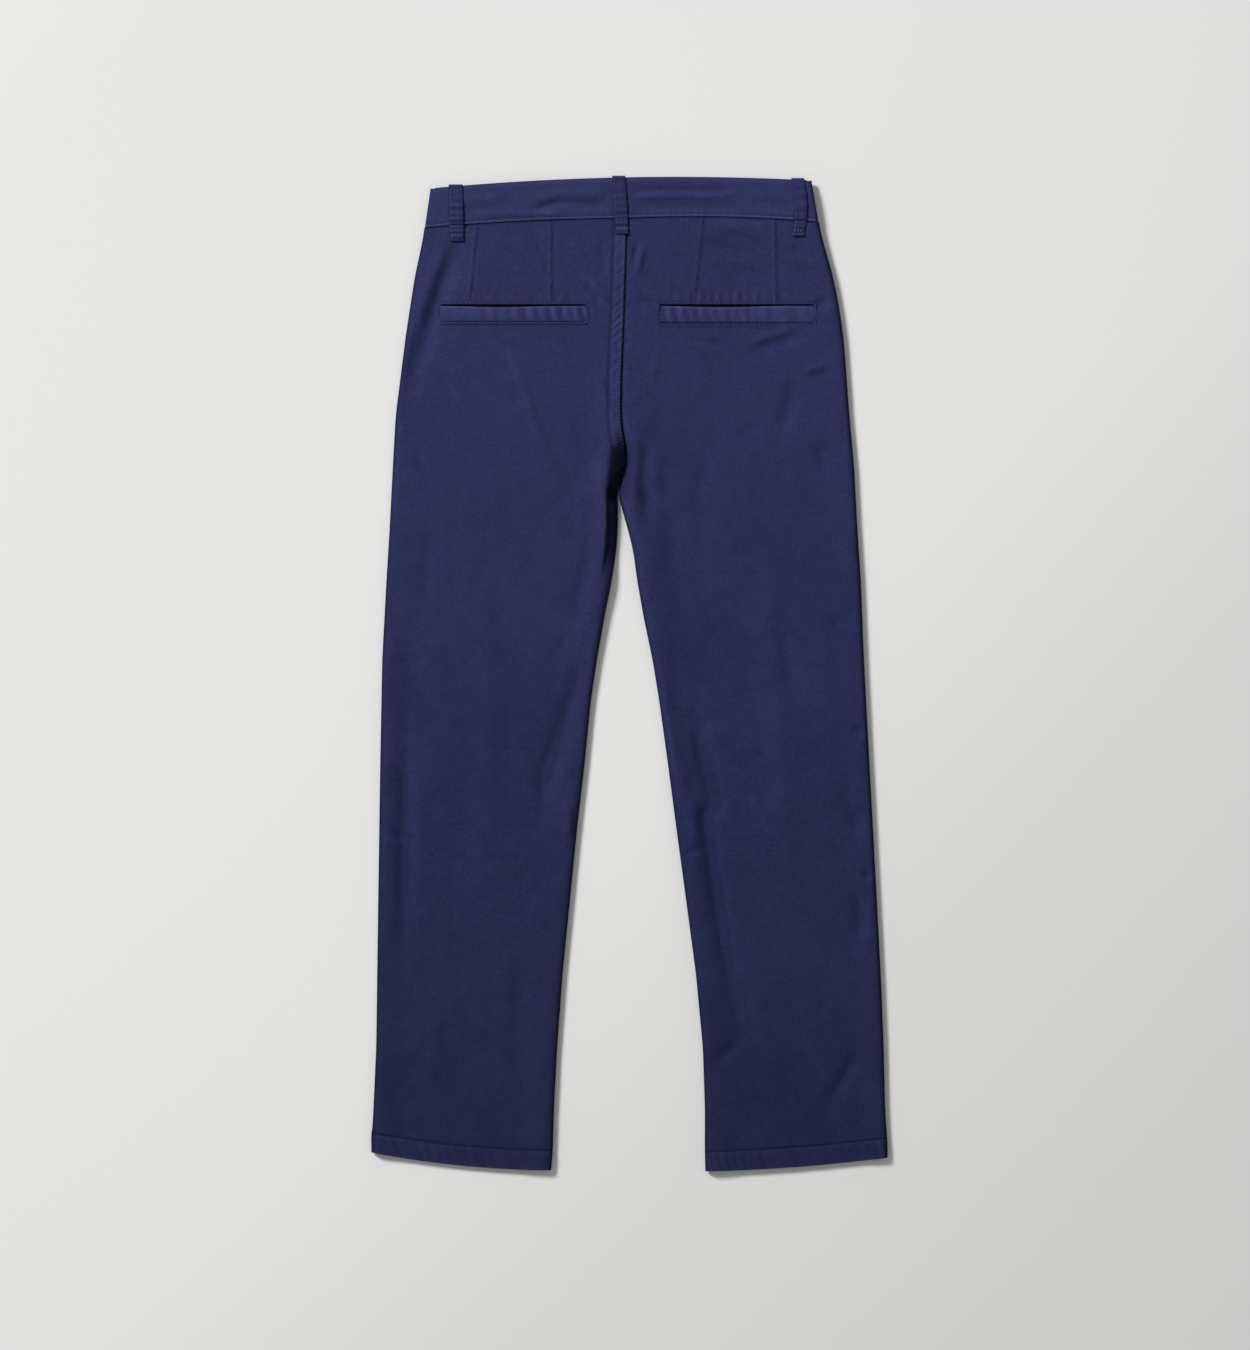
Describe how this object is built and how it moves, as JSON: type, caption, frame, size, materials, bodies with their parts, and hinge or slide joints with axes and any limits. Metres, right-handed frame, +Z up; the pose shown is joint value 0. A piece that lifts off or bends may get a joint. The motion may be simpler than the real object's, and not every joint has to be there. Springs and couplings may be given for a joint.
{
  "type": "outdoor trousers, laid flat back upwards",
  "caption": "Plain twill trousers lying flat, back upwards, with a waistband and belt loops, welt pockets in the seat, a fly beneath and straight legs a little apart.",
  "frame": {"origin": "on the surface it lies on, below the middle of the outline", "axes": "+Y from the hems towards the waist, +Z up out of the seat, +X towards the wearer's right"},
  "size_m": [0.517, 0.9956, 0.0138],
  "materials": {
    "trouser_twill": "navy cotton twill, washed, matt",
    "waistband_twill": "navy cotton twill over interlining, matt",
    "button_resin": "dark navy polyester resin, satin"
  },
  "bodies": {
    "root": {"back_left": "trouser_twill", "back_right": "trouser_twill", "front_left": "trouser_twill", "front_right": "trouser_twill", "waistband_back": "waistband_twill", "waistband_front_left": "waistband_twill", "waistband_front_right": "waistband_twill", "belt_loop_centre_back": "waistband_twill", "belt_loop_back_left": "waistband_twill", "belt_loop_back_right": "waistband_twill", "belt_loop_front_left": "waistband_twill", "belt_loop_front_right": "waistband_twill", "pocket_welt_left": "trouser_twill", "pocket_welt_right": "trouser_twill", "fly": "trouser_twill", "waist_button": "button_resin"}
  },
  "joints": []
}
